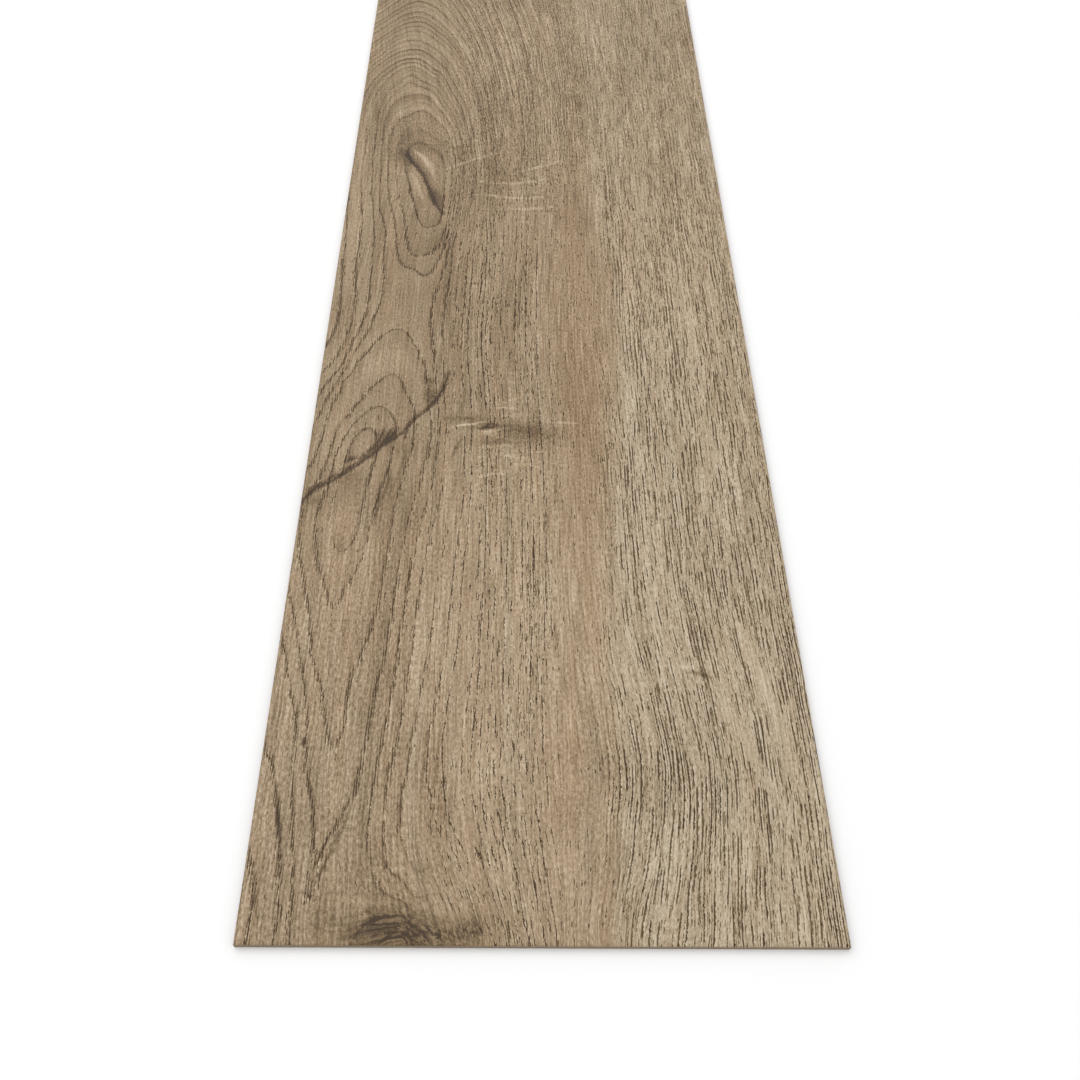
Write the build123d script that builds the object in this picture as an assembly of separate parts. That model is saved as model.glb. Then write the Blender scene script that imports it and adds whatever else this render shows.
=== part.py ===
"""Square-edged vinyl floor plank, lying face up.

The plank is pressed and die-cut as one piece: a flat sheet with straight butt edges all round and a fine
bevel along the four edges of its walking face. Its length runs along Y, its width along X and its thickness
along Z. The origin is the centre of the underside, which is the face that is bonded to the floor.
"""

import os

from build123d import *

# Driving dimensions, in millimetres.
PLANK_WIDTH = 184.0
PLANK_LENGTH = 1219.0
PLANK_THICKNESS = 2.5
BEVEL_WIDTH = 0.5  # across the walking face
BEVEL_DEPTH = 0.3  # down the butt edge


def plank_section(span):
    """The outline of a cut through the plank, span wide: square underside, bevelled walking face."""
    half_span = span / 2
    half_face = half_span - BEVEL_WIDTH
    edge_top = PLANK_THICKNESS - BEVEL_DEPTH
    right_side = [(half_span, 0), (half_span, edge_top), (half_face, PLANK_THICKNESS)]
    left_side = [(-x, z) for x, z in reversed(right_side)]
    return make_face(Polyline(*right_side, *left_side, close=True))


def make_plank():
    """The lengthwise bar and the crosswise bar share the plank, with the bevels mitred at its corners."""
    lengthwise = extrude(Plane.XZ * plank_section(PLANK_WIDTH), PLANK_LENGTH / 2, both=True)
    crosswise = extrude(Plane.YZ * plank_section(PLANK_LENGTH), PLANK_WIDTH / 2, both=True)
    return lengthwise & crosswise


os.makedirs("parts", exist_ok=True)
export_step(make_plank(), "parts/plank.step")
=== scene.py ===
"""Dresses the vinyl floor plank: an oak print under an embossed matt face, on a plain pale floor.

The print is laid out in millimetres on the walking face: x from the plank's middle, positive to the right,
and v from its front end. Its growth rings are bent through pins along the ring lines that can be seen, and
its fibres run lengthwise, pushed aside by the knots.
"""

import math
from types import SimpleNamespace

import bmesh
import bpy
import numpy as np
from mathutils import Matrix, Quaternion, Vector, noise


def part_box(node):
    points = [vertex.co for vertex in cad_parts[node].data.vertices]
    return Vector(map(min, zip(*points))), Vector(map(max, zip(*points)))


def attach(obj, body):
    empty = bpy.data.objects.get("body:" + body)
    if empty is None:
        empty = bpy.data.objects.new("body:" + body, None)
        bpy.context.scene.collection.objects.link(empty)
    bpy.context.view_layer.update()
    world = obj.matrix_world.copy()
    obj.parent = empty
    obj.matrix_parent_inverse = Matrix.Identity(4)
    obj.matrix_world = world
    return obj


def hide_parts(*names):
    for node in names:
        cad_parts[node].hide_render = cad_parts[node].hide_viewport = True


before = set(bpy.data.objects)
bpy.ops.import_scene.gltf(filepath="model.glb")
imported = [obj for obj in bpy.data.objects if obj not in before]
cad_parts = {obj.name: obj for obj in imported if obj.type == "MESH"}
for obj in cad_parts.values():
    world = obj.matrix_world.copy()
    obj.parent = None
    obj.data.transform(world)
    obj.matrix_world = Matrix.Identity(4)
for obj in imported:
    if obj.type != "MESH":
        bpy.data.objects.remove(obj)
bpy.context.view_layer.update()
_, plank_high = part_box("plank")

MM = 0.001
HALF_WIDTH = plank_high[0] / MM
HALF_LENGTH = plank_high[1] / MM
THICKNESS = plank_high[2] / MM
LENGTH = 2 * HALF_LENGTH
BEVEL_WIDTH = 0.5
BEVEL_DEPTH = 0.3
FACE_HALF_WIDTH = HALF_WIDTH - BEVEL_WIDTH
FACE_HALF_LENGTH = HALF_LENGTH - BEVEL_WIDTH

# The face is divided finely across the grain and more coarsely along it, finest where the knots and the crack
# are: stretches of v and the length of their rows.
COLUMN_WIDTH = 0.62
ROW_STRETCHES = [
    (0, 20, 1.5),
    (20, 58, 1.3),
    (58, 69, 1.2),
    (69, 88, 4.5),
    (88, 98, 1.0),
    (98, 160, 4.5),
    (160, 201, 1.1),
    (201, 210, 0.5),
    (210, 240, 1.1),
    (240, 340, 6.0),
    (340, 400, 1.25),
    (400, 560, 4.6),
    (560, LENGTH, 15.0),
]

# Growth rings: ring number, then the pins (x, v) that its line goes through. Numbers rise outwards from the
# heart of each figure.
RING_PINS = [
    (-5.4, [(-72, 178)]),
    (-5, [(-75, 198), (-70, 204.4), (-66, 200), (-69, 152), (-74, 142), (-78, 147), (-79.5, 162)]),
    (-4.4, [(-56, 370)]),
    (-4, [(-66.5, 385), (-64.5, 372), (-61, 356), (-58, 344), (-51, 333.5), (-46, 341), (-45.5, 366),
          (-49, 392), (-58, 401)]),
    (-4, [(-81, 190), (-78, 200), (-73, 210), (-66, 216), (-61, 212), (-58.4, 204), (-62, 172),
          (-65, 156)]),
    (-4, [(-66, 144), (-71, 128), (-74.5, 118), (-80, 130), (-84, 143), (-85, 162)]),
    (-3.5, [(-42, 2)]),
    (-3, [(-66, 413), (-71, 398), (-70.5, 378), (-67.5, 354), (-64.5, 343), (-62, 326), (-58, 311),
          (-46, 322)]),
    (-3, [(-43, 335), (-42, 372), (-45, 397), (-54, 411)]),
    (-3, [(-84, 187), (-78, 210), (-73, 220), (-68, 229), (-60, 234), (-56, 226), (-52, 214), (-54, 180),
          (-57, 145)]),
    (-3, [(-60, 112), (-63, 100), (-66, 86), (-69, 63), (-74, 78), (-80, 98), (-87, 130), (-91, 160)]),
    (-2, [(-67, 424), (-75, 405), (-74.5, 380), (-71.5, 352), (-68.5, 338), (-66.5, 320), (-58, 304),
          (-44, 318)]),
    (-2, [(-40.5, 345), (-40, 372), (-43, 400), (-52, 421)]),
    (-2, [(-88, 194), (-86, 212), (-82, 230), (-77, 242), (-71, 253), (-60.5, 262), (-55, 256), (-51, 246),
          (-48, 236)]),
    (-2, [(-44, 205), (-48, 170)]),
    (-2, [(-53, 130), (-54.5, 105), (-58, 78), (-60, 54), (-66, 36), (-72, 13), (-78, 60), (-74, 44)]),
    (-1.3, [(-61, 24), (-64, 9), (-58, 15)]),
    (-1, [(-67, 443), (-79, 420), (-78.5, 385), (-76, 346), (-72, 330), (-71.5, 312), (-42, 314)]),
    (-1, [(-38.5, 345), (-38, 372), (-41, 402), (-54, 438)]),
    (-1, [(-90, 100), (-86, 85), (-82, 69), (-79, 35), (-54, 25), (-55, 50), (-50, 110)]),
    (0, [(-68, 463), (-81, 438), (-82.5, 410), (-82, 375), (-79, 344), (-76.5, 318), (-76, 288),
         (-78, 262), (-84, 238)]),
    (0, [(-54, 452), (-45, 430), (-38, 400), (-36.5, 372), (-37, 345), (-40, 320), (-41, 290), (-42, 262),
         (-40, 225)]),
    (0, [(-38, 190), (-42, 150), (-45, 120), (-46, 100), (-48, 70), (-51, 45), (-49, 24), (-40, 14)]),
    (0, [(-91, 62), (-86, 48), (-83, 32), (-80, 8)]),
    (1, [(-87, 410), (-87, 370), (-83.5, 335), (-83.5, 300)]),
    (2, [(-69, 479), (-86, 461), (-92, 440), (-56, 470), (-45, 448), (-36, 418), (-33, 390), (-32, 360),
         (-32, 320)]),
    (2, [(-33, 280), (-33, 250), (-31, 213), (-30, 170), (-32, 140), (-34, 100), (-38.5, 62), (-36, 45),
         (-28, 28)]),
    (4, [(-69, 499), (-86, 482), (-55, 490), (-43, 465), (-35, 440), (-30, 410), (-28, 372), (-28, 320),
         (-29, 260)]),
    (4, [(-26, 220), (-25, 180), (-26, 140), (-27, 100), (-30, 60), (-28, 40), (-20, 18), (-13, 0)]),
    (6, [(-70, 518), (-88, 498), (-55, 508), (-43, 487), (-34, 455)]),
    (8, [(-70, 541), (-90, 516), (-54, 530), (-43, 508), (-32, 475), (-25, 440), (-21, 405), (-20, 360),
         (-20, 300)]),
    (8, [(-21, 250), (-18, 200), (-17, 140), (-18, 80), (-17, 40), (-9, 5)]),
    (12, [(-69, 590), (-90, 556), (-52, 572), (-38, 540), (-27, 500), (-18, 450), (-13, 400), (-12, 330)]),
    (18, [(-66, 700), (-90, 630), (-45, 665), (-28, 620), (-12, 560), (0, 490), (3, 420), (2, 230),
          (2, 70), (8, 10)]),
    (24, [(-60, 900), (-88, 740), (-36, 830), (-14, 720), (6, 620), (20, 520), (24, 430), (22, 230),
          (25, 70), (22, 5)]),
    (30, [(-40, 1219), (-52, 1100), (-10, 900), (16, 750), (34, 620), (44, 520), (46, 250), (56, 70),
          (50, 5)]),
    (36, [(10, 1219), (34, 900), (56, 650), (66, 450), (66, 250), (66, 100), (66, 5)]),
    (44, [(60, 1219), (74, 900), (92, 600), (92, 300), (92, 5)]),
]

# The rings bend like a thin plate, on which a distance along the plank counts for only a share of itself. The
# slack lets a ring miss its pins a little, and the ring and the fibres wander by these millimetres.
RING_SHARE_ALONG = 0.3
RING_SLACK = 3.0
RING_WANDER = 0.5
FIBRE_WANDER = 0.7

# The step over which slopes are measured, in millimetres, and the least and most that they may come to. TINY
# keeps a logarithm or a division away from nought.
SLOPE_STEP = 0.25
FIBRE_RATE_LIMITS = (0.3, 3)
RING_GAP_LIMITS = (1.5, 30)
TINY = 1e-6

# Where knots push the fibres aside: x, v, reach across, reach along, and the push to the right.
FIBRE_PUSHES = [
    (-50, 600, 60, 110, -30),
    (-27, -5, 26, 26, 11),
    (46, 58, 34, 45, 8),
    (24, 0, 14, 18, -3),
    (-5, 262, 30, 45, -3),
    (5, 860, 60, 150, 7),
    (-52, 372, 28, 42, 5),
]

# Broad darker (negative) and lighter patches of the print: x, v, reach across, reach along, lean in degrees
# from upright towards the right, and the change of tone.
TONE_PATCHES = [
    (-72, 408, 9, 16, -20, -0.06),
    (-27, 368, 16, 26, 0, -0.05),
    (-48, 322, 11, 15, 30, -0.07),
    (-40, 288, 6, 30, 0, -0.06),
    (-13, 285, 5, 32, 6, -0.06),
    (-31, 262, 4, 34, 2, -0.04),
    (15, 215, 7, 50, 0, -0.05),
    (18, 350, 6, 40, 0, -0.04),
    (-53, 160, 8, 14, 20, -0.05),
    (-57, 75, 3, 45, 0, -0.03),
    (-40, 4, 17, 9, 90, -0.03),
    (38, 54, 16, 14, -15, -0.05),
    (86, 160, 7, 70, 0, -0.03),
    (24, 460, 4, 45, 0, -0.04),
    (-68, 170, 14, 12, 0, -0.04),
    (-15, 390, 28, 45, 0, -0.03),
    (-18, 228, 18, 26, 0, -0.03),
    (50, 335, 13, 18, 0, -0.055),
    (-86, 456, 8, 22, 0, -0.035),
    (-78, 538, 16, 16, 0, -0.03),
    (-70, 8, 6, 10, 0, -0.035),
    (44, 460, 8, 30, 0, -0.03),
    (0, 548, 22, 16, 0, -0.045),
    (4, 122, 9, 20, 0, 0.03),
    (-18, 62, 8, 20, 0, 0.03),
    (-30, 165, 8, 30, 0, 0.025),
    (-86, 335, 6, 40, 0, 0.05),
    (68, 235, 9, 60, 0, 0.02),
    (-62, 245, 8, 14, 0, 0.025),
    (-70, 108, 6, 20, 0, 0.05),
    (-43, 90, 5, 24, 0, 0.05),
    (-84, 198, 7, 16, 0, 0.05),
    (-84, 58, 7, 16, 0, 0.035),
    (-5, 85, 14, 60, 0, 0.022),
    (-60, 396, 14, 20, 0, -0.07),
    (42, 268, 14, 40, 0, 0.025),
    (-4, 204, 13, 8, 0, -0.035),
    (60, 500, 36, 80, 0, -0.022),
    (-22, 480, 26, 34, 0, 0.03),
]

# Where the warm wood on the left meets the greyer coarse wood on the right: v and x. The border wanders, and
# the coarse wood sets in over a few millimetres of x.
ZONE_BORDER = [(0, 22), (50, 20), (110, 22), (200, 27), (250, 32), (300, 33), (340, 28), (380, 24),
               (450, 22)]
BORDER_WANDER = 3
BORDER_BLEND = (-5, 9)

# A warmer streak beside the border: x, v, reach across and reach along.
WARM_STREAK = (18, 250, 10, 160)

# The figured wood, where growth rings show, ends at this x. Above the upper knot it spreads so much further.
FIGURE_EDGE = -38
FIGURE_SPREAD = 40

# Where pores are crowded (positive) or wanting, in the same order as the patches of tone.
PORE_PATCHES = [
    (77, 88, 2.0, 24, -14, -4.0),
    (68, 68, 1.8, 16, -20, -2.5),
    (70, 20, 1.4, 24, 0, -1.2),
    (40, 28, 8, 9, 10, -0.7),
    (38, 54, 14, 12, -15, 0.5),
    (88, 85, 6, 28, 0, 0.6),
    (86, 10, 8, 14, 0, 0.6),
    (60, 8, 6, 10, 0, 0.5),
    (2, 120, 7, 40, 0, 0.7),
    (-8, 60, 6, 26, 0, 0.5),
    (14, 480, 6, 60, 0, 0.6),
    (-15, 480, 22, 60, -14, 0.7),
    (0, 203, 12, 7, 0, 1.2),
    (13, 90, 5, 60, 0, -0.9),
    (-30, 110, 8, 60, 0, -0.5),
    (-16, 218, 18, 34, 0, -1.0),
]

# Where the rings close round a knot and show as fine unbroken lines: x, v, reach across and reach along.
RINGED_KNOTS = [(-82, 362, 18, 50), (-52, 334, 8, 5), (-40, 16, 20, 20)]

# Where the ring lines fade out, inside a knot and under the crack, in the same order as the patches of tone.
FADED_RINGS = [(-55, 382, 13, 26, 0, 1.0), (-74, 152, 9, 22, 0, 0.65), (-50, 168, 13, 26, 0, 0.45)]

# Where pale rays cross the grain, in the same order as the patches of tone.
RAY_PATCHES = [
    (-8, 205, 20, 30, 0, 1.0),
    (-12, 366, 24, 26, 0, 1.0),
    (-14, 135, 14, 34, 0, 0.6),
    (20, 375, 10, 20, 0, 0.5),
]

# Open slits in the old wood, as runs of (x, v, half width).
CRACK = [
    (-93, 162, 0.3), (-90, 168, 0.3), (-88, 171, 0.8), (-84, 174, 0.7),
    (-81, 176, 0.2), (-78, 178.5, 0.5), (-73, 183, 0.2), (-71, 185.5, 0.5),
    (-69, 188, 0.8), (-66, 191, 0.5), (-63, 195, 0.9), (-60, 199, 0.7),
    (-59, 202, 0.1),
]
CRACK_STRANDS = [
    [(-90, 171, 0.1), (-85, 175, 0.3), (-80, 178.5, 0.3), (-77, 180, 0.1)],
    [(-79, 178.5, 0.1), (-75, 182.5, 0.4), (-72, 186.5, 0.2), (-69, 190, 0.3), (-66, 195, 0.1)],
    [(-67, 192, 0.1), (-64.5, 198, 0.2), (-63, 203, 0.1)],
    [(-64, 195, 0.1), (-61.5, 199.5, 0.3), (-60, 203.5, 0.1)],
    [(-62, 195, 0.1), (-58, 199, 0.3), (-55, 203, 0.3), (-53, 207, 0.1)],
]
UPPER_CRACK = [
    (-54.2, 199, 0.1), (-53.8, 204, 0.3), (-52, 208, 0.5), (-49, 212, 0.3),
    (-46, 215, 0.5), (-43, 220, 0.7), (-41, 225, 0.4), (-39.5, 230, 0.4),
    (-38, 237, 0.1),
]
SPLINTER = [(-77, 185.5, 0.1), (-75, 187, 0.8), (-73, 188.3, 0.1)]
KNOT_SLIT = [
    (-66, 390, 0.2), (-64, 386.5, 0.8), (-62, 383, 1.1), (-59, 378.5, 0.8),
    (-57, 374, 0.7), (-55, 369, 0.7), (-53.5, 364, 0.9), (-52, 358, 1.1),
    (-50, 352, 0.8), (-47, 346, 0.3), (-45.5, 343, 0.1),
]
SLITS = [CRACK, *CRACK_STRANDS, UPPER_CRACK, SPLINTER, KNOT_SLIT]

# Distances from the slits are counted up to this one.
FAR_FROM_SLITS = 100.0

# Smoky brown wood lies mostly on the left of each slit. It reaches out by a multiple of the slit's half
# width, to which a least half width is added.
SMOKE_REACH_LEFT = 2.6
SMOKE_REACH_RIGHT = 0.4
SMOKE_LEAST_HALF = 0.3

# Curly dark wood: x, v, reach across, reach along and strength.
BURLS = [
    (-47, 5, 8, 6, 1.2),
    (-33, 3, 11, 5, 1.2),
    (-22, 5, 4, 4, 0.8),
    (-55, 2.5, 6, 2.5, 0.7),
    (-64, 6, 7, 5, 0.4),
    (-50, 355, 4, 8, 0.5),
    (-62.5, 199, 3, 3.5, 0.5),
    (-45.5, 223, 2.5, 4, 1.0),
    (-46.5, 231, 2, 2, 1.2),
    (-68, 389, 5, 7, 0.5),
    (-10, 205.5, 8, 4, 0.8),
    (0, 202, 8, 5, 0.6),
    (-31, 210.5, 8, 2, 0.8),
    (-17, 198, 9, 2.5, 0.6),
    (-74, 177, 6, 5, 0.4),
    (-57, 193, 5, 5, 0.45),
    (-88, 166, 4, 3, 0.4),
]

# Single tapering strokes of the print: start and end (x, v), how far the middle bows to the left, half width
# and change of tone. First the pale rays that cross the grain.
RAYS = [
    ((-51, 375), (-16, 396), 1.0, 1.20, 0.12),
    ((-38, 374), (12, 378), -7.0, 1.20, 0.12),
    ((-36, 364), (12, 362), -5.5, 1.20, 0.12),
    ((-20, 350), (12, 353), -2.0, 1.20, 0.11),
    ((-14, 377), (18, 393), -1.0, 1.20, 0.11),
    ((-48, 396), (-22, 408), 1.0, 1.20, 0.08),
    ((-24, 217), (-4, 226), -1.0, 0.80, 0.10),
    ((-23, 216), (-5, 217.5), 0.3, 0.80, 0.10),
    ((-17, 212.5), (-3, 213), 0.3, 0.80, 0.10),
    ((2, 209.5), (19, 209), 0.3, 0.80, 0.11),
    ((-26, 195), (-8, 196.5), 0.4, 0.80, 0.09),
    ((-20, 192), (3, 187), 0.9, 0.80, 0.10),
    ((-10, 188), (4, 184), 0.3, 0.70, 0.08),
    ((-28, 179), (-10, 181), 0.9, 0.80, 0.09),
]
LEVEL_KNOT = [
    ((-39, 206.0), (-13, 207.0), 0.3, 3.00, -0.06),
    ((-36, 205.4), (-24, 207.4), 0.8, 0.90, 0.22),
    ((-36, 203.5), (-34, 207.4), 0.6, 0.80, 0.14),
    ((-30, 206.4), (-19, 209.4), 0.5, 0.70, 0.14),
    ((-23.4, 206.2), (-16.2, 207.4), 0.1, 2.10, -0.25),
    ((-22.2, 206.3), (-17.2, 207.2), 0.1, 1.15, 0.17),
    ((-26.5, 204.9), (-19, 206.0), 0.0, 1.30, -0.17),
    ((-26, 203.6), (-13, 206.4), -1.1, 0.90, 0.10),
    ((-26, 202.2), (-16, 203.0), 0.0, 1.50, 0.06),
    ((-18.4, 208.6), (-10.2, 207.6), 3.2, 0.70, -0.08),
]
UPPER_KNOT = [
    ((-65.0, 379), (-58.8, 349), -1.0, 0.80, -0.10),
    ((-62.0, 358), (-59.0, 349), -0.2, 0.90, -0.12),
    ((-65, 397), (-50, 367), 3.0, 3.40, 0.10),
    ((-63, 395), (-53, 377), 1.6, 1.70, 0.09),
    ((-64.5, 381), (-54, 349), -0.4, 2.80, 0.08),
    ((-60.5, 374), (-54.5, 350), -0.3, 0.80, 0.08),
    ((-54.5, 367), (-44.5, 342), 1.8, 3.00, -0.06),
    ((-74, 377.5), (-60, 375), -2.4, 0.90, 0.07),
    ((-70.5, 395), (-63, 388), 0.0, 3.20, -0.08),
]
FRONT_STRANDS = [
    ((-71.4, 15), (-63.5, 44), -1.2, 0.80, -0.14),
    ((-72, 18.8), (-66.4, 36), 0.5, 0.80, -0.13),
    ((-67, 22.5), (-60, 47.5), 0.2, 0.80, -0.14),
    ((-62, 42.5), (-59.3, 59), -0.5, 0.80, -0.11),
    ((-69.8, 18.8), (-67, 27.5), 0.0, 0.75, -0.11),
    ((-78.3, 57), (-72.2, 20), 2.2, 0.80, -0.13),
    ((-77, 54), (-73.3, 43), 0.4, 0.75, -0.11),
    ((-88.3, 57.5), (-79.8, 12.5), 0.9, 0.85, -0.13),
    ((-86, 47), (-82, 30), 0.3, 0.85, -0.13),
    ((-85.3, 42), (-83, 31), 0.2, 0.75, -0.11),
    ((-89.5, 25), (-85, 1), 0.3, 0.80, -0.11),
]
OTHER_STROKES = [
    ((-92, 172), (-78, 179), 0.3, 1.20, 0.10),
    ((-75, 185), (-70, 187), 0.2, 1.20, 0.10),
    ((-76.5, 197), (-65, 199.5), 5.0, 1.00, -0.05),
    ((49, 94), (61, 90.5), 0.6, 1.40, -0.16),
    ((45, 95.5), (55, 95), 0.4, 1.00, 0.09),
    ((-80.5, 64.5), (-77.5, 65.5), 0.0, 1.50, -0.28),
    ((-58, 186), (-66, 150), 0.8, 0.90, -0.12),
    ((-53, 196), (-59, 168), 0.6, 0.90, -0.08),
    ((-62, 179), (-64, 161), 0.5, 0.90, -0.12),
    ((-31, 203), (-37, 186), 0.6, 1.00, -0.10),
    ((-32.5, 223), (-32, 210), 0.0, 0.80, -0.12),
    ((-66, 12.5), (-43, 12.5), 0.6, 1.00, 0.10),
]
STROKES = RAYS + LEVEL_KNOT + UPPER_KNOT + FRONT_STRANDS + OTHER_STROKES

# The share of its half width over which a stroke fades out.
STROKE_SOFTNESS = 0.7

# Where parts of the print set in or fade, from the place where that begins to the one where it is complete.
# First along the plank, in v.
UPPER_PART = (330, 410)
DARKER_MIDDLE = (150, 220)
LIGHTER_TOP = (370, 420)
COARSE_WARMS = (120, 350)
LEFT_SMOOTHS = (110, 190)
FIGURE_SPREADS = (370, 470)
FIGURE_FADES = (800, 580)
RINGS_CALM = (270, 340)
RINGS_FRAY = (425, 465)
LINES_BROADEN = (390, 440)
HALF_LINES_SET_IN = (405, 430)
STRINGS_FADE_BESIDE_KNOT = (285, 360)
STRINGS_FADE_ABOVE_KNOT = (390, 420)
PORES_WIDEN = (60, 500)
LONG_PORES_FADE = (180, 420)

# The same across the plank, in x, and from the edge of the figured wood.
LEFT_PART = (-28, -50)
BESIDE_KNOT = (-45, -30)
LEANING_PORES = (-55, -30)
STRINGS_SET_IN = (12, -4)
FIGURE_BLEND = (12, -12)

# Ring lines and pores: half widths, the spacing of rows of pores, and how often a row's dashes come in each
# millimetre of its length. Strings are the pores along the ring lines.
RING_LINE_HALF = 0.75
STRING_HALF = 0.18
STRING_RUNS = 0.13
LONG_PORE_HALF = 0.27
LONG_PORE_RUNS = 0.08
LONG_PORE_SPACING = 1.55
SHORT_PORE_HALF = 0.17
SHORT_PORE_RUNS = 0.24
SHORT_PORE_SPACING = 0.85

# Rows this far apart in the noise have nothing in common.
ROW_STEP = 5.37

# How far from its edge a slit begins to darken, and how far inside it is full.
SLIT_EDGE = (0.9, -0.3)

# Tones are shares of full brightness: the print's own, and what its marks add or take away.
BASE_TONE = 0.592
PORE_DARKNESS = 0.34
RING_DARKNESS = 0.15
RAY_PALENESS = 0.085
RIM_DARKNESS = 0.05

# How brightly the studio lights a level face, and what the matt gloss adds to every colour there.
STUDIO_LIGHT = 1.06
GLOSS_LIFT = 0.034
VINYL_IOR = 1.5

# The print's colours by tone, from the darkest pore to the palest ray: pinkish brown and olive grey.
WARM_STOPS = [
    (0.27, (78, 64, 48)),
    (0.40, (116, 95, 71)),
    (0.50, (147, 124, 96)),
    (0.60, (173, 149, 120)),
    (0.70, (198, 175, 146)),
    (0.78, (216, 195, 168)),
]
GREY_STOPS = [
    (0.27, (78, 65, 50)),
    (0.40, (114, 98, 75)),
    (0.50, (141, 124, 98)),
    (0.60, (166, 149, 123)),
    (0.70, (192, 175, 149)),
    (0.78, (211, 197, 174)),
]

# The cut edges and the backing: their colours, and their dust and pressed cells in periods for each metre.
BODY_STOPS = [(0.3, (122, 107, 88)), (0.7, (150, 134, 112))]
BODY_DUST = 2500.0
BACKING_STOPS = [(0.25, (92, 88, 82)), (0.75, (118, 112, 104))]
BACKING_DUST = 900.0
BACKING_CELLS = 700.0

# Depths of the embossed relief below the walking face, and how far its grooves reach sideways.
RING_GROOVE = 0.05
RING_GROOVE_REACH = 0.9
SLIT_GROOVE = 0.16
SLIT_GROOVE_WALL = (1.2, -0.6)
STREAK_GROOVE = 0.06
DEEPEST_RELIEF = BEVEL_DEPTH * 0.7

# Depths of what is finer than the mesh: pores, stone dust and the pressed cells of the backing.
PORE_DEPTH = 0.12
DUST_DEPTH = 0.05
CELL_DEPTH = 0.1

# How far a normal points towards a side: a bevel's by more than slanted, and that of a flat side or of the
# relief by more than square.
SLANTED = 0.3
SQUARE = 0.9

# The sides of the plank as upright strips of the baked picture, and its margin below and above them.
BAKE_STRIPS = {
    "face": (0.005, 0.905),
    "left": (0.915, 0.925),
    "right": (0.930, 0.940),
    "front": (0.945, 0.955),
    "far": (0.960, 0.970),
    "underside": (0.975, 0.995),
}
BAKE_MARGIN = 0.004

# The floor lies this far below the underside, so that the two don't share one plane.
FLOOR_GAP = 0.05

# The studio, in metres and watts.
FLOOR_HALF = 6.0
FLOOR_COLOUR = (0.97, 0.97, 0.97, 1.0)
FLOOR_ROUGHNESS = 0.9
SURROUND_STRENGTH = 0.88
LAMP_SIDE = 2.0
LAMP_POWER = 15.0
LAMP_PLACE = (-1.2, 0.4, 1.8)

# Camera, from the outline of the plank in the picture: 1080 pixels of focal length in a 1080 pixel frame.
CAMERA_LENS = 36.0
CAMERA_SENSOR = 36.0
CAMERA_NEAR = 0.01
CAMERA_PLACE = (-0.0192, -0.7015, 0.3320)
CAMERA_AIM = (-0.0004, -0.4601, 0.0025)
CAMERA_ROLL = math.radians(4.83)


def thin_plate(across, along):
    """How strongly a pin bends the plate at a distance from it."""
    reach = across**2 + (along * RING_SHARE_ALONG) ** 2
    return reach * np.log(reach + TINY)


def ring_numbers(x, v):
    """Bends a thin plate through the ring pins and reads the ring number at each x, v."""
    pins = [(pin_x, pin_v, number) for number, line in RING_PINS for pin_x, pin_v in line]
    pin_x, pin_v, number = (np.array(column, float) for column in zip(*pins))
    count = len(pins)
    bends = thin_plate(pin_x[:, None] - pin_x, pin_v[:, None] - pin_v)
    slope = np.stack([np.ones(count), pin_x, pin_v * RING_SHARE_ALONG])
    system = np.zeros((count + 3, count + 3))
    system[:count, :count] = bends + RING_SLACK * np.eye(count)
    system[:count, count:] = slope.T
    system[count:, :count] = slope
    weights = np.linalg.solve(system, np.concatenate([number, np.zeros(3)]))
    rings = weights[count] + weights[count + 1] * x + weights[count + 2] * v * RING_SHARE_ALONG
    for weight, at_x, at_v in zip(weights, pin_x, pin_v):
        rings += weight * thin_plate(x - at_x, v - at_v)
    return rings


def bell(across, along):
    """1 at the middle, falling softly to nothing a reach or two away."""
    return np.exp(-(across**2) - along**2)


def smooth_rise(value, low, high):
    """0 at low, 1 at high and a smooth rise between, in either direction."""
    share = np.clip((value - low) / (high - low), 0, 1)
    return share * share * (3 - 2 * share)


def swells(x, v, across, along, seed):
    """Soft noise, about -1 to 1, with swells of these lengths across and along."""
    return np.array([noise.fractal((s / across, t / along, seed), 1.0, 2.0, 2) for s, t in zip(x, v)])


def fibre_place(x, v):
    """Where the fibre through x, v would lie if no knot pushed it aside and it did not wander."""
    drift = np.zeros_like(x)
    for at_x, at_v, across, along, push in FIBRE_PUSHES:
        drift += push * bell((x - at_x) / across, (v - at_v) / along)
    straight = x - drift
    return straight + FIBRE_WANDER * swells(straight, v, 7, 22, 1.0)


def patchwork(patches, x, v):
    """The sum of some leaning soft patches."""
    total = np.zeros_like(x)
    for at_x, at_v, across, along, lean, strength in patches:
        sine = math.sin(math.radians(lean))
        cosine = math.cos(math.radians(lean))
        off = (x - at_x) * cosine - (v - at_v) * sine
        run = (x - at_x) * sine + (v - at_v) * cosine
        total += strength * bell(off / across, run / along)
    return total


def slit_fields(x, v):
    """Millimetres from the edge of the nearest slit, negative inside it, and the smoky wood beside it."""
    nearest = np.full_like(x, FAR_FROM_SLITS)
    smoke = np.zeros_like(x)
    for slit in SLITS:
        for (x0, v0, half0), (x1, v1, half1) in zip(slit, slit[1:]):
            run_x = x1 - x0
            run_v = v1 - v0
            share = np.clip(((x - x0) * run_x + (v - v0) * run_v) / (run_x**2 + run_v**2), 0, 1)
            away = np.hypot(x - x0 - share * run_x, v - v0 - share * run_v)
            half = half0 + share * (half1 - half0)
            nearest = np.minimum(nearest, away - half)
            on_left = run_x * (v - v0) > run_v * (x - x0)
            reach = np.where(on_left, SMOKE_REACH_LEFT, SMOKE_REACH_RIGHT) * (SMOKE_LEAST_HALF + half)
            smoke = np.maximum(smoke, bell(away / reach, 0))
    return nearest, smoke


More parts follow.
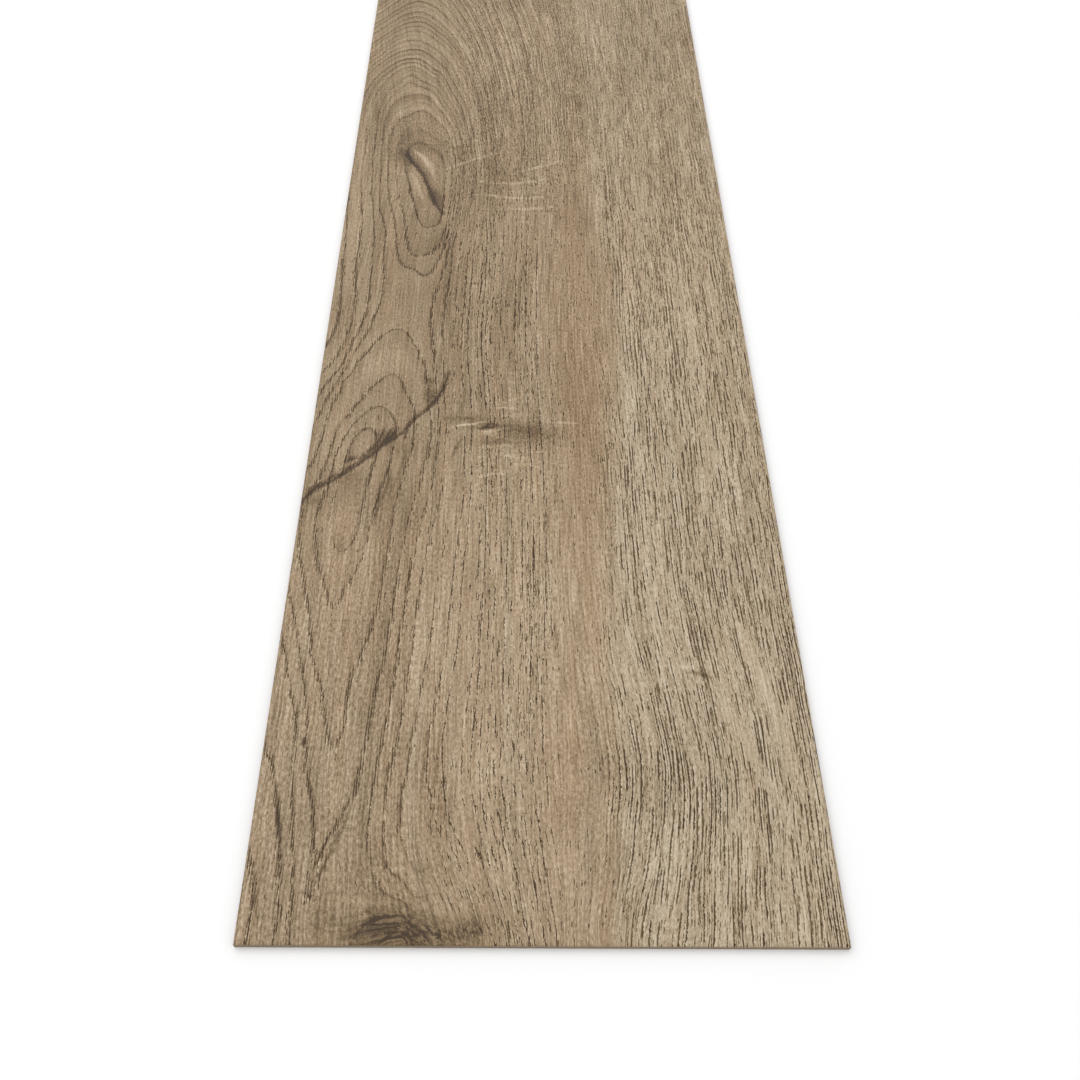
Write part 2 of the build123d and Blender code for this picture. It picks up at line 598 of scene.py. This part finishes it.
def stroke_marks(x, v):
    """What the single strokes add to the tone: each is bowed at its middle and tapers to its ends."""
    marks = np.zeros_like(x)
    for start, end, bow, half_width, change in STROKES:
        run = Vector(end) - Vector(start)
        share = ((x - start[0]) * run.x + (v - start[1]) * run.y) / run.length_squared
        off = ((v - start[1]) * run.x - (x - start[0]) * run.y) / run.length
        taper = np.clip(4 * share * (1 - share), 0, 1)
        inside = taper * half_width - np.abs(off - taper * bow)
        marks += change * smooth_rise(inside, 0, half_width * STROKE_SOFTNESS)
    return marks


def curly_wood(x, v):
    """How curly and dark the wood is, 0 to about 1."""
    curl = np.zeros_like(x)
    for at_x, at_v, across, along, strength in BURLS:
        curl += strength * bell((x - at_x) / across, (v - at_v) / along)
    return curl


def ring_slopes(x, v):
    """The ring number, how fast it changes in a millimetre and how squarely its line crosses the plank."""
    rings = ring_numbers(x, v)
    across = (ring_numbers(x + SLOPE_STEP, v) - rings) / SLOPE_STEP
    along = (ring_numbers(x, v + SLOPE_STEP) - rings) / SLOPE_STEP
    steepness = np.hypot(across, along) + TINY
    return rings, steepness, np.clip(along / steepness, 0, 1) ** 2


def coarse_wood(x, v):
    """Where the greyer coarse wood lies, 0 to 1: to the right of a wandering border."""
    border = np.interp(v, *zip(*ZONE_BORDER))
    return smooth_rise(x - border + BORDER_WANDER * swells(x, v, 6, 40, 3.0), *BORDER_BLEND)


def figured_wood(x, v):
    """Where growth rings show, 0 to 1: on the left, and further to the right above the upper knot."""
    edge = FIGURE_EDGE + FIGURE_SPREAD * smooth_rise(v, *FIGURE_SPREADS)
    return smooth_rise(x - edge, *FIGURE_BLEND) * smooth_rise(v, *FIGURE_FADES)


def strung_pores(x, v, arching, ringed, faded):
    """Where pores are strung along the growth rings, 0 to 1."""
    beside_knot = smooth_rise(v, *STRINGS_FADE_BESIDE_KNOT) * smooth_rise(x, *BESIDE_KNOT)
    distant = np.maximum(smooth_rise(v, *STRINGS_FADE_ABOVE_KNOT), beside_knot)
    on_left = smooth_rise(x, *STRINGS_SET_IN)
    return on_left * (1 - arching) * (1 - 0.8 * distant) * (1 - 0.7 * ringed) * (1 - faded)


def broad_tone(x, v, fibre, coarse, crowd):
    """Broad lighter and darker stretches of the print, its single strokes and its darker rim on the bevel."""
    to_rim = np.minimum(HALF_WIDTH - np.abs(x), np.minimum(v, LENGTH - v))
    tone = patchwork(TONE_PATCHES, x, v) - RIM_DARKNESS * smooth_rise(to_rim, BEVEL_WIDTH, 0)
    tone += stroke_marks(x, v) + 0.042 * swells(fibre, v, 3.5, 75, 4.0)
    tone += 0.022 * swells(fibre, v, 17, 70, 5.0) - 0.02 * coarse * crowd
    tone -= 0.02 * smooth_rise(v, *DARKER_MIDDLE) - 0.01 * smooth_rise(v, *LIGHTER_TOP)
    return tone


def grey_share(x, v, fibre, coarse):
    """How far the print's colour goes from pinkish brown to olive grey, about 0 to 1."""
    warm_x, warm_v, warm_across, warm_along = WARM_STREAK
    grey = 0.3 + coarse * (0.5 - 0.25 * smooth_rise(v, *COARSE_WARMS))
    grey -= 0.4 * bell((x - warm_x) / warm_across, (v - warm_v) / warm_along)
    return grey + 0.3 * swells(fibre, v, 5, 90, 6.0)


def face_fields(x, v):
    """Everything about the print that is worked out once for each corner of the face's mesh."""
    fibre = fibre_place(x, v)
    fibre_rate = np.abs(fibre_place(x + SLOPE_STEP, v) - fibre) / SLOPE_STEP
    rings, steepness, arching = ring_slopes(x, v)
    knots = [bell((x - at_x) / across, (v - at_v) / along) for at_x, at_v, across, along in RINGED_KNOTS]
    ringed = np.max(knots, 0)
    faded = np.clip(patchwork(FADED_RINGS, x, v), 0, 1)
    figured = figured_wood(x, v)
    coarse = coarse_wood(x, v)
    crowd = swells(fibre, v, 8, 80, 2.0) + patchwork(PORE_PATCHES, x, v)
    slit, smoke = slit_fields(x, v)
    return {
        "fibre": fibre,
        "fibre_rate": np.clip(fibre_rate, *FIBRE_RATE_LIMITS),
        "ring": rings + RING_WANDER * swells(x, v, 3, 10, 8.0) * steepness,
        "ring_gap": np.clip(1 / steepness, *RING_GAP_LIMITS),
        "figured": figured,
        "lined": figured * (0.3 + 0.7 * np.maximum(arching, ringed)) * (1 - 0.9 * faded),
        "strung": strung_pores(x, v, arching, ringed, faded),
        "coarse": coarse,
        "crowd": crowd,
        "tone": broad_tone(x, v, fibre, coarse, crowd),
        "hue": grey_share(x, v, fibre, coarse),
        "slit": slit,
        "smoke": smoke,
        "burl": curly_wood(x, v),
        "rays": patchwork(RAY_PATCHES, x, v),
    }


def relief(v, fields):
    """Depth of the embossing below the walking face, in millimetres."""
    to_line = np.abs(fields["ring"] - np.round(fields["ring"])) * fields["ring_gap"]
    groove = RING_GROOVE * np.exp(-((to_line / RING_GROOVE_REACH) ** 2)) * fields["figured"]
    crack = SLIT_GROOVE * smooth_rise(fields["slit"], *SLIT_GROOVE_WALL)
    streak = STREAK_GROOVE * smooth_rise(swells(fields["fibre"], v, 1.8, 50, 7.0), -0.1, 0.6)
    return np.clip(groove + crack + streak, 0, DEEPEST_RELIEF)


def row_places():
    """The v of each row of the face's mesh, from the front bevel to the far one."""
    rows = [np.arange(low, high, step) for low, high, step in ROW_STRETCHES]
    places = np.concatenate(rows + [[LENGTH]])
    return BEVEL_WIDTH + places * (LENGTH - 2 * BEVEL_WIDTH) / LENGTH


def embossed_face():
    """The walking face inside its bevels, pressed in by the relief."""
    rows = row_places()
    last_row = len(rows) - 1
    columns = round(2 * FACE_HALF_WIDTH / COLUMN_WIDTH)
    shape = bmesh.new()
    bmesh.ops.create_grid(shape, x_segments=columns, y_segments=last_row, size=1.0)
    for corner in shape.verts:
        row = round((corner.co.y + 1) / 2 * last_row)
        corner.co.x *= FACE_HALF_WIDTH * MM
        corner.co.y = (rows[row] - HALF_LENGTH) * MM
    places = np.array([corner.co[:2] for corner in shape.verts]) / MM
    x = places[:, 0]
    v = places[:, 1] + HALF_LENGTH
    for corner, depth in zip(shape.verts, relief(v, face_fields(x, v))):
        corner.co.z = (THICKNESS - depth) * MM
    return shape


def close_below(shape):
    """Draws the face's rim out to the bevels and down to the butt edges, and closes the flat underside."""
    rim = [edge for edge in shape.edges if edge.is_boundary]
    outwards = Vector((HALF_WIDTH / FACE_HALF_WIDTH, HALF_LENGTH / FACE_HALF_LENGTH, 1))
    straight = Vector((1, 1, 1))
    for height, spread in ((THICKNESS - BEVEL_DEPTH, outwards), (0.0, straight)):
        made = bmesh.ops.extrude_edge_only(shape, edges=rim)["geom"]
        corners = [item for item in made if isinstance(item, bmesh.types.BMVert)]
        bmesh.ops.scale(shape, vec=spread, verts=corners)
        for corner in corners:
            corner.co.z = height * MM
        rim = [item for item in made if isinstance(item, bmesh.types.BMEdge) and item.is_boundary]
    bmesh.ops.triangle_fill(shape, edges=rim, use_beauty=True, normal=(0, 0, -1))
    bmesh.ops.recalc_face_normals(shape, faces=shape.faces)


def side_of(normal):
    """The side of the plank that a part of the mesh belongs to. The bevels belong to the walking face."""
    if normal.z > SLANTED:
        return "face"
    if normal.z < -SQUARE:
        return "underside"
    if abs(normal.x) > SQUARE:
        return "left" if normal.x < 0 else "right"
    return "front" if normal.y < 0 else "far"


def bake_place(place, side):
    """Where a point of the plank lies on its picture: the face wide, the other sides in strips beside it."""
    across = (place.x + HALF_WIDTH) / (2 * HALF_WIDTH)
    along = (place.y + HALF_LENGTH) / LENGTH
    share = across if side in ("face", "underside") else place.z / THICKNESS
    run = across if side in ("front", "far") else along
    low, high = BAKE_STRIPS[side]
    return low + share * (high - low), BAKE_MARGIN + (1 - 2 * BAKE_MARGIN) * run


def plank_mesh():
    """A closed mesh of the plank, with a finish and a place on the baked picture for each of its sides."""
    shape = embossed_face()
    close_below(shape)
    bake_map = shape.loops.layers.uv.new("OFBake")
    for face in shape.faces:
        side = side_of(face.normal)
        face.smooth = face.normal.z > SQUARE
        face.material_index = {"face": 0, "underside": 2}.get(side, 1)
        for loop in face.loops:
            loop[bake_map].uv = bake_place(loop.vert.co / MM, side)
    mesh = bpy.data.meshes.new("plank_face_up")
    shape.to_mesh(mesh)
    shape.free()
    return mesh


class Wire:
    """A shader socket that can be used in sums."""

    def __init__(self, finish, socket):
        self.finish = finish
        self.socket = socket

    def __add__(self, other):
        return self.finish.maths("ADD", self, other)

    def __sub__(self, other):
        return self.finish.maths("SUBTRACT", self, other)

    def __rsub__(self, other):
        return self.finish.maths("SUBTRACT", other, self)

    def __mul__(self, other):
        return self.finish.maths("MULTIPLY", self, other)

    def __truediv__(self, other):
        return self.finish.maths("DIVIDE", self, other)

    def __pow__(self, other):
        return self.finish.maths("POWER", self, other)

    def __abs__(self):
        return self.finish.maths("ABSOLUTE", self)

    __radd__ = __add__
    __rmul__ = __mul__


class Finish:
    """A material under construction."""

    def __init__(self, name):
        self.material = bpy.data.materials.new(name)
        self.material.use_nodes = True
        self.tree = self.material.node_tree
        self.tree.nodes.clear()

    def node(self, kind, settings, sockets, output=0):
        """Adds a node, sets it up and gives its sockets their values or links. Returns one of its outputs."""
        made = self.tree.nodes.new(kind)
        for name, setting in settings.items():
            if name == "stops":
                set_stops(made.color_ramp, setting)
            else:
                setattr(made, name, setting)
        for name, value in sockets.items():
            if isinstance(value, Wire):
                self.tree.links.new(value.socket, made.inputs[name])
            else:
                made.inputs[name].default_value = value
        return Wire(self, made.outputs[output]) if made.outputs else None

    def maths(self, operation, *values):
        """A sum, or another operation on numbers."""
        return self.node("ShaderNodeMath", {"operation": operation}, dict(enumerate(values)))

    def rise(self, value, low, high):
        """0 at low, 1 at high and a smooth rise between, in either direction."""
        sockets = {"Value": value, "From Min": low, "From Max": high}
        return self.node("ShaderNodeMapRange", {"interpolation_type": "SMOOTHSTEP"}, sockets)

    def field(self, name):
        """One of the values kept at the corners of the mesh."""
        return self.node("ShaderNodeAttribute", {"attribute_name": name}, {}, "Fac")

    def chance(self, number):
        """A value from 0 to 1 that each number has for its own."""
        return self.node("ShaderNodeTexWhiteNoise", {"noise_dimensions": "1D"}, {"W": number})

    def grain(self, across, along, seed, detail=0.0, roughness=0.5):
        """Soft noise, 0 to 1, in coordinates that count one period each."""
        place = self.node("ShaderNodeCombineXYZ", {}, {"X": across, "Y": along, "Z": seed})
        sockets = {"Vector": place, "Scale": 1.0, "Detail": detail, "Roughness": roughness}
        return self.node("ShaderNodeTexNoise", {}, sockets)

    def apart(self, place):
        """The three coordinates of a place."""
        split = self.node("ShaderNodeSeparateXYZ", {}, {"Vector": place}).socket.node
        return [Wire(self, output) for output in split.outputs]

    def ramp(self, stops, share):
        """The colour at this share of a row of stops."""
        return self.node("ShaderNodeValToRGB", {"stops": stops}, {"Fac": share})

    def mixed(self, share, first, second):
        """A colour between two. The node's sockets 6 and 7 and its output 2 are the ones for colours."""
        sockets = {"Factor": share, 6: first, 7: second}
        return self.node("ShaderNodeMix", {"data_type": "RGBA"}, sockets, 2)

    def rows(self, fibre, rate, spacing, seed):
        """Millimetres to the nearest of many rows along the fibres, and that row's number."""
        row = fibre / spacing + seed
        number = self.maths("FLOOR", row)
        return abs(row - number - 0.3 - self.chance(number) * 0.4) * spacing / rate, number

    def dashes(self, away, number, v, half_width, per_mm, amount):
        """Thin dashes along a row, more where amount is high: 1 inside and a little below 0 along a painted
        highlight rim.
        """
        run = self.grain(number * ROW_STEP, v * per_mm, 0.0)
        here = self.rise(run + amount, 0.5, 0.58)
        wide = here * half_width
        core = self.rise(away, wide * 1.4, wide * 0.4)
        # Painted highlight: a pale rim round each dash stands in for light catching the edge of the embossed
        # pore.
        rim = self.rise(away, wide * 3.4, wide * 1.4)
        return (core * 1.2 - rim * 0.2) * here

    def surface(self, colour, roughness, height=None, bump=0.0, bump_depth=0.0):
        """Closes the material with its shader, pressed in where height is low by a depth in millimetres."""
        sockets = {"Base Color": colour, "Roughness": roughness, "IOR": VINYL_IOR}
        if height is not None:
            pressed = {"Strength": bump, "Distance": bump_depth * MM, "Height": height}
            sockets["Normal"] = self.node("ShaderNodeBump", {}, pressed)
        shader = self.node("ShaderNodeBsdfPrincipled", {}, sockets)
        self.node("ShaderNodeOutputMaterial", {}, {"Surface": shader})
        return self.material


def set_stops(ramp, stops):
    """Gives a colour ramp its stops, each a place and an sRGB colour out of 255."""
    while len(ramp.elements) < len(stops):
        ramp.elements.new(0.5)
    for element, (place, colour) in zip(ramp.elements, stops):
        element.position = place
        element.color = own_colour(colour)


def own_colour(colour):
    """The linear colour of a finish that shows as this sRGB colour, out of 255, in the studio's light."""
    shares = [channel / 255 for channel in colour]
    shown = [s / 12.92 if s <= 0.04045 else ((s + 0.055) / 1.055) ** 2.4 for s in shares]
    return (*[max(share - GLOSS_LIFT, 0) / STUDIO_LIGHT for share in shown], 1.0)


def oak_wood(face):
    """What every mark of the print is worked out from: its place, the kind of wood there and the fibres."""
    place = face.node("ShaderNodeTexCoord", {}, {}, "Object")
    sockets = {"Vector": place, "Location": (0, HALF_LENGTH, 0), "Scale": (1 / MM, 1 / MM, 1 / MM)}
    place = face.node("ShaderNodeMapping", {"vector_type": "POINT"}, sockets)
    x, v, _ = face.apart(place)
    fibre = face.field("fibre")
    return SimpleNamespace(
        x=x,
        v=v,
        fibre=fibre,
        coarse=face.field("coarse"),
        curl=face.field("burl"),
        upper=face.rise(v, *UPPER_PART),
        left=face.rise(x, *LEFT_PART),
        # Long streaks, short flecks and thin threads of lighter and darker fibre.
        hair=face.grain(fibre * 0.9, v * 0.025, 11.0, 2.0, 0.75) - 0.5,
        speck=face.grain(fibre * 1.5, v * 0.55, 14.0, 2.0, 0.9) - 0.5,
        thread=face.grain(fibre * 1.6, v * 0.06, 15.0) - 0.5,
    )


def growth_rings(face, wood):
    """A fine dark line for each ring, pale just outside it, with brown wood fading away inwards."""
    v = wood.v
    gap = face.field("ring_gap")
    figured = face.field("figured")
    unrest = 1.6 - face.rise(v, *RINGS_CALM) * 1.2 + face.rise(v, *RINGS_FRAY) * 0.8
    wiggle = wood.hair * 0.8 + wood.speck * unrest
    ring = face.field("ring") + wiggle / gap
    number = face.maths("ROUND", ring)
    past_line = face.maths("FRACT", ring)
    to_line = face.maths("MINIMUM", past_line, 1 - past_line) * gap

    # Above the upper knot the lines are broader, and fainter ones lie halfway between them.
    own = face.chance(number)
    own_between = face.chance(face.maths("FLOOR", ring) + 0.5)
    breadth = RING_LINE_HALF + face.rise(v, *LINES_BROADEN) * 0.3
    half_line = face.rise(gap * 0.5 - to_line, breadth, 0.0) * face.rise(v, *HALF_LINES_SET_IN) * own_between
    line = face.rise(to_line, breadth, 0.0) * (1 + (own - 0.5) * (0.4 + wood.upper)) + half_line

    layers = face.grain(ring * 3.1, v * 0.006 + wood.x * 0.012, 51.0, 1.0, 0.6) - 0.5
    return SimpleNamespace(
        ring=ring,
        number=number,
        own=own,
        to_line=to_line,
        line=line * face.field("lined") * (1 + wood.speck * 1.6),
        band=(past_line**2 - 0.33) * figured,
        layers=layers * figured,
    )


def oak_pores(face, wood, rings):
    """The long pores, and all pores together: long and short ones, and strings of them along the rings."""
    v = wood.v
    left = wood.left
    coarse = wood.coarse
    widen = 1 + face.rise(v, *PORES_WIDEN) * 0.4
    crooked = wood.fibre + wood.speck * 1.2
    rate = face.field("fibre_rate")
    crowd = face.field("crowd")
    strung = face.field("strung")
    leaning = face.rise(wood.x, *LEANING_PORES) * wood.upper * 0.4

    often = rings.own * 0.34 + left * (0.22 - rings.own * 0.34)
    amount = often - 0.17 - left * 0.06
    string = face.dashes(rings.to_line, rings.number, v, widen * STRING_HALF, STRING_RUNS, amount) * strung

    away, number = face.rows(crooked, rate, LONG_PORE_SPACING, 22.0)
    amount = crowd * 0.14 + 0.03
    long_pore = face.dashes(away, number, v, widen * LONG_PORE_HALF, LONG_PORE_RUNS, amount)
    on_right = coarse * (1 - face.rise(v, *LONG_PORES_FADE) * 0.65)
    long_pore = long_pore * face.maths("MAXIMUM", on_right, leaning * 0.5)

    away, number = face.rows(crooked, rate, SHORT_PORE_SPACING, 23.0)
    near_line = face.rise(rings.to_line, 1.1 + left * 0.5, 0.2) * strung
    amount = crowd * 0.12 + near_line * (often * 0.6 + left * 0.36) + coarse * 0.15 - left * 0.10
    amount = amount - wood.curl * 0.3 + leaning * (0.35 - coarse * 0.35) - 0.15
    half_width = widen * (SHORT_PORE_HALF + left * 0.04)
    short_pore = face.dashes(away, number, v, half_width, SHORT_PORE_RUNS, amount)
    return long_pore, long_pore + short_pore * (0.85 - wood.upper * 0.35) + string * (1.15 - left * 0.45)


def pale_rays(face, wood):
    """Fine pale flecks across the grain, 0 to 1."""
    flecks = abs(face.grain(wood.x * 0.11, wood.v * 0.30, 43.0, 1.0) - 0.5)
    return face.rise(flecks, 0.022, 0.0) * face.field("rays")


def dark_marks(face, wood, rings):
    """How much curly wood, the slits and the smoky brown beside them darken the print."""
    swirl = face.grain(rings.ring * 3.6 + wood.x * 0.25, wood.v * 0.55 - wood.x * 0.12, 42.0, 2.0, 0.85)
    curls = wood.curl * (0.08 + face.rise(swirl, 0.38, 0.62) * 0.18)
    ragged = face.field("slit") + wood.speck * 2.0 + (swirl - 0.5) * 3.0
    slits = face.rise(ragged, *SLIT_EDGE) * (0.06 + swirl * 0.23)
    smoke = face.field("smoke") * (0.02 + swirl * 0.16)
    return curls, slits, smoke


def oak_print():
    """The printed and embossed walking face."""
    face = Finish("oak_print")
    wood = oak_wood(face)
    rings = growth_rings(face, wood)
    long_pore, pore = oak_pores(face, wood, rings)
    curls, slits, smoke = dark_marks(face, wood, rings)
    coarse = wood.coarse
    upper = wood.upper
    left = wood.left

    tone = BASE_TONE - left * 0.027 + coarse * (0.07 - upper * 0.045) + upper * 0.006 + face.field("tone")
    smooth = 1 - wood.curl * 0.5 - left * face.rise(wood.v, *LEFT_SMOOTHS) * 0.25
    flecks = wood.speck * (0.60 + upper * 0.18 + left * 0.12)
    fine = wood.hair * (0.26 - left * 0.04) + flecks + wood.thread * 0.24
    tone = tone + fine * smooth
    # The pores darken the print, and the painted highlight rims round them lighten it a little.
    tone = tone - pore * (PORE_DARKNESS - coarse * 0.03 - left * 0.08) - rings.line * RING_DARKNESS
    tone = tone - rings.band * (0.04 + upper * 0.02) + rings.layers * (0.06 + upper * 0.18)
    tone = tone + pale_rays(face, wood) * RAY_PALENESS - curls - slits - smoke

    hue = face.field("hue") + wood.speck * 0.3
    colour = face.mixed(hue, face.ramp(WARM_STOPS, tone), face.ramp(GREY_STOPS, tone))
    roughness = 0.52 + pore * 0.2 + wood.speck * 0.15
    return face.surface(colour, roughness, wood.speck * 0.5 - long_pore, 0.5, PORE_DEPTH)


def vinyl_body():
    """The cut vinyl of the butt edges: grey-brown, filled with fine stone dust."""
    body = Finish("vinyl_body")
    place = body.node("ShaderNodeTexCoord", {}, {}, "Object")
    dust = body.node("ShaderNodeTexNoise", {}, {"Vector": place, "Scale": BODY_DUST, "Detail": 3.0})
    return body.surface(body.ramp(BODY_STOPS, dust), 0.6 + dust * 0.2, dust, 0.3, DUST_DEPTH)


def vinyl_backing():
    """The underside: plain grey vinyl with a fine pressed texture for the adhesive."""
    backing = Finish("vinyl_backing")
    place = backing.node("ShaderNodeTexCoord", {}, {}, "Object")
    pressed = backing.node("ShaderNodeTexVoronoi", {}, {"Vector": place, "Scale": BACKING_CELLS})
    dust = backing.node("ShaderNodeTexNoise", {}, {"Vector": place, "Scale": BACKING_DUST, "Detail": 3.0})
    return backing.surface(backing.ramp(BACKING_STOPS, dust), 0.6 + dust * 0.2, pressed, 0.5, CELL_DEPTH)


def dressed_plank():
    """The plank's mesh with the print's fields and its three finishes."""
    mesh = plank_mesh()
    places = np.empty(3 * len(mesh.vertices))
    mesh.vertices.foreach_get("co", places)
    x, y, _ = places.reshape(-1, 3).T / MM
    for name, values in face_fields(x, y + HALF_LENGTH).items():
        field = mesh.attributes.new(name, "FLOAT", "POINT")
        field.data.foreach_set("value", values.astype(np.float32))
    for finish in (oak_print(), vinyl_body(), vinyl_backing()):
        mesh.materials.append(finish)
    piece = bpy.data.objects.new("embossed_plank", mesh)
    bpy.context.collection.objects.link(piece)
    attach(piece, "root")
    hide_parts("plank")


def pale_floor():
    """A plain floor that the plank lies on."""
    shape = bmesh.new()
    bmesh.ops.create_grid(shape, x_segments=1, y_segments=1, size=FLOOR_HALF)
    bmesh.ops.translate(shape, vec=(0, 0, -FLOOR_GAP * MM), verts=shape.verts)
    mesh = bpy.data.meshes.new("pale_floor")
    shape.to_mesh(mesh)
    shape.free()
    mesh.materials.append(Finish("pale_floor").surface(FLOOR_COLOUR, FLOOR_ROUGHNESS))
    floor = bpy.data.objects.new("pale_floor", mesh)
    bpy.context.collection.objects.link(floor)


def studio_light():
    """An even white surround and one large soft lamp."""
    world = bpy.data.worlds.new("studio_surround")
    world.use_nodes = True
    surround = world.node_tree.nodes["Background"]
    surround.inputs["Color"].default_value = (1, 1, 1, 1)
    surround.inputs["Strength"].default_value = SURROUND_STRENGTH
    bpy.context.scene.world = world

    lamp = bpy.data.lights.new("soft_lamp", "AREA")
    lamp.shape = "RECTANGLE"
    lamp.size = LAMP_SIDE
    lamp.size_y = LAMP_SIDE
    lamp.energy = LAMP_POWER
    holder = bpy.data.objects.new("soft_lamp", lamp)
    holder.location = LAMP_PLACE
    holder.rotation_euler = (-holder.location).to_track_quat("-Z", "Y").to_euler()
    bpy.context.collection.objects.link(holder)
    bpy.context.scene.view_settings.view_transform = "Standard"


def camera():
    """Looks down along the plank from its front end."""
    lens = bpy.data.cameras.new("camera")
    lens.lens = CAMERA_LENS
    lens.sensor_width = CAMERA_SENSOR
    lens.clip_start = CAMERA_NEAR
    holder = bpy.data.objects.new("camera", lens)
    holder.location = CAMERA_PLACE
    sight = (Vector(CAMERA_AIM) - Vector(CAMERA_PLACE)).to_track_quat("-Z", "Y")
    holder.rotation_euler = (sight @ Quaternion((0, 0, 1), CAMERA_ROLL)).to_euler()
    bpy.context.collection.objects.link(holder)
    bpy.context.scene.camera = holder


dressed_plank()
pale_floor()
studio_light()
camera()
